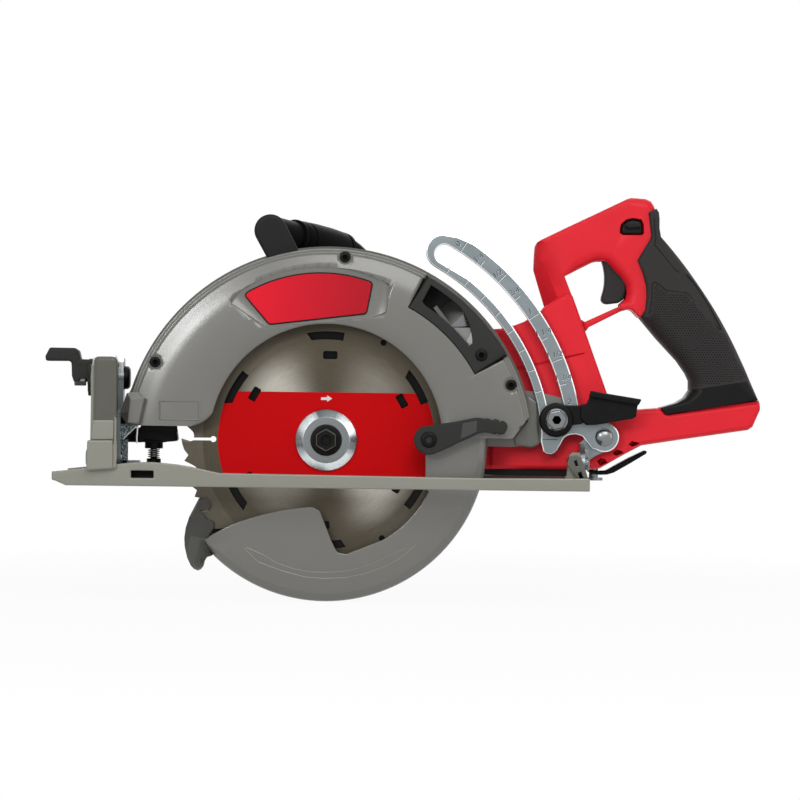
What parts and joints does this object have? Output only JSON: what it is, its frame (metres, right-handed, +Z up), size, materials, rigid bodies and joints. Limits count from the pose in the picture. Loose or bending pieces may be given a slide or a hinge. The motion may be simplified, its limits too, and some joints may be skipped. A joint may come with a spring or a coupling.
{
  "type": "rear handle circular saw",
  "caption": "Battery circular saw with a long D-shaped rear handle, round blade guards, front handle, tilting shoe and a slotted depth bracket; the pack is not fitted.",
  "frame": {"origin": "on the shoe's sole, in the blade's middle plane, under the arbor", "axes": "+X to the rear of the saw, +Y from the blade side to the motor side, +Z up from the sole"},
  "size_m": [0.4595, 0.156, 0.2599],
  "materials": {
    "cast_grey": "satin grey paint on a light casting",
    "red_plastic": "satin moulded plastic",
    "black_plastic": "matte moulded plastic",
    "dark_plastic": "dark grey moulded plastic",
    "black_rubber": "soft overmoulded rubber",
    "zinc": "zinc plated steel",
    "blade_steel": "ground blade steel",
    "black_steel": "black oxide steel",
    "machined_steel": "machined steel",
    "laminated_steel": "laminated steel",
    "copper": "varnished copper",
    "contact_metal": "plated contact metal"
  },
  "bodies": {
    "saw_body": {"guard_cover": "cast_grey", "guard_housing": "cast_grey", "guard_screws": "black_steel", "chip_insert": "dark_plastic", "name_plate": "red_plastic", "gear_case": "cast_grey", "case_screws": "black_steel", "motor_housing": "red_plastic", "motor_end_cap": "black_plastic", "stator_core": "laminated_steel", "stator_windings": "copper", "controller_board": "dark_plastic", "handle_left_half": "red_plastic", "handle_right_half": "red_plastic", "grip_sleeve": "black_rubber", "switch_body": "black_plastic", "trigger_pin": "machined_steel", "battery_rail": "black_plastic", "battery_contacts": "contact_metal", "front_handle": "black_plastic", "front_handle_grip": "black_rubber", "spindle_bearing_front": "machined_steel", "spindle_bearing_rear": "machined_steel", "rotor_bearing_front": "machined_steel", "rotor_bearing_rear": "machined_steel", "guard_return_spring": "machined_steel", "depth_bolt": "zinc", "hook_bolt": "zinc"},
    "blade_spindle": {"spindle": "machined_steel", "drive_gear": "machined_steel", "inner_flange": "zinc", "saw_blade": "blade_steel", "outer_flange": "zinc", "blade_bolt": "black_steel"},
    "rotor": {"rotor_shaft": "machined_steel", "rotor_core": "laminated_steel", "cooling_fan": "black_plastic"},
    "lower_guard": {"lower_guard": "cast_grey", "guard_lever": "dark_plastic", "guard_lever_screw": "black_steel"},
    "trigger": {"trigger": "black_plastic"},
    "lock_off_button": {"lock_off_button": "black_plastic"},
    "spindle_lock_button": {"spindle_lock_button": "black_plastic"},
    "tilt_carrier": {"front_tilt_plate": "zinc", "rear_tilt_bracket": "zinc", "depth_pivot_pin": "machined_steel", "bevel_bolt": "black_steel", "bracket_rivet": "zinc", "stop_barrel": "black_plastic", "stop_spring": "machined_steel"},
    "depth_bracket": {"depth_bracket": "zinc"},
    "shoe": {"shoe": "cast_grey", "bevel_pivot_pins": "machined_steel"},
    "bevel_lever": {"bevel_lever": "black_plastic", "bevel_lever_nut": "zinc"},
    "depth_lever": {"depth_lever": "dark_plastic", "depth_lever_nut": "zinc"},
    "rafter_hook": {"rafter_hook": "black_steel"},
    "stop_plunger": {"stop_plunger": "black_steel"}
  },
  "joints": [
    {"name": "blade_spin", "type": "hinge", "parent": "saw_body", "child": "blade_spindle", "pos_m": [0, 0, 0.03], "axis": [0, 1, 0], "continuous": true},
    {"name": "rotor_spin", "type": "hinge", "parent": "saw_body", "child": "rotor", "pos_m": [0.0125, 0.08, 0.05165], "axis": [0, 1, 0], "continuous": true},
    {"name": "lower_guard_swing", "type": "hinge", "parent": "saw_body", "child": "lower_guard", "pos_m": [0, 0, 0.03], "axis": [0, -1, 0], "range_deg": [0, 115], "stiffness_Nm_per_rad": 0.3, "springref_deg": -34.38},
    {"name": "trigger_squeeze", "type": "hinge", "parent": "saw_body", "child": "trigger", "pos_m": [0.1845, 0.042, 0.1505], "axis": [0, -1, 0], "range_deg": [0, 12], "stiffness_Nm_per_rad": 0.5, "springref_deg": -11.46},
    {"name": "lock_off_slide", "type": "slide", "parent": "saw_body", "child": "lock_off_button", "axis": [0, 1, 0], "range_m": [-0.003, 0.003], "stiffness_N_per_m": 600},
    {"name": "spindle_lock_press", "type": "slide", "parent": "saw_body", "child": "spindle_lock_button", "axis": [1, 0, 0], "range_m": [0, 0.0015], "stiffness_N_per_m": 800, "springref_m": -0.002},
    {"name": "depth", "type": "hinge", "parent": "saw_body", "child": "tilt_carrier", "pos_m": [-0.1223, 0, 0.0476], "axis": [0, 1, 0], "range_deg": [0, 29]},
    {"name": "depth_link", "type": "hinge", "parent": "tilt_carrier", "child": "depth_bracket", "pos_m": [0.1771, 0.016, 0.0338], "axis": [0, 1, 0], "range_deg": [0, 18.6]},
    {"name": "bevel", "type": "hinge", "parent": "tilt_carrier", "child": "shoe", "pos_m": [0, 0, 0.017], "axis": [-1, 0, 0], "range_deg": [0, 53]},
    {"name": "bevel_lever_turn", "type": "hinge", "parent": "tilt_carrier", "child": "bevel_lever", "pos_m": [-0.151, 0.0265, 0.0682], "axis": [1, 0, 0], "range_deg": [0, 60]},
    {"name": "depth_lever_turn", "type": "hinge", "parent": "saw_body", "child": "depth_lever", "pos_m": [0.1462, 0.01, 0.0445], "axis": [0, -1, 0], "range_deg": [0, 60]},
    {"name": "hook_swing", "type": "hinge", "parent": "saw_body", "child": "rafter_hook", "pos_m": [0.172, 0.052, 0.009], "axis": [0, 0, 1], "range_deg": [0, 100]},
    {"name": "stop_press", "type": "slide", "parent": "tilt_carrier", "child": "stop_plunger", "axis": [0, 0, 1], "range_m": [0, 0.002], "stiffness_N_per_m": 400, "springref_m": -0.002, "deforming": ["stop_spring"]}
  ],
  "couplings": [
    {"joint": "rotor_spin", "follows": "blade_spin", "ratio": -4},
    {"joint": "depth_link", "follows": "depth", "ratio": 0.64}
  ]
}
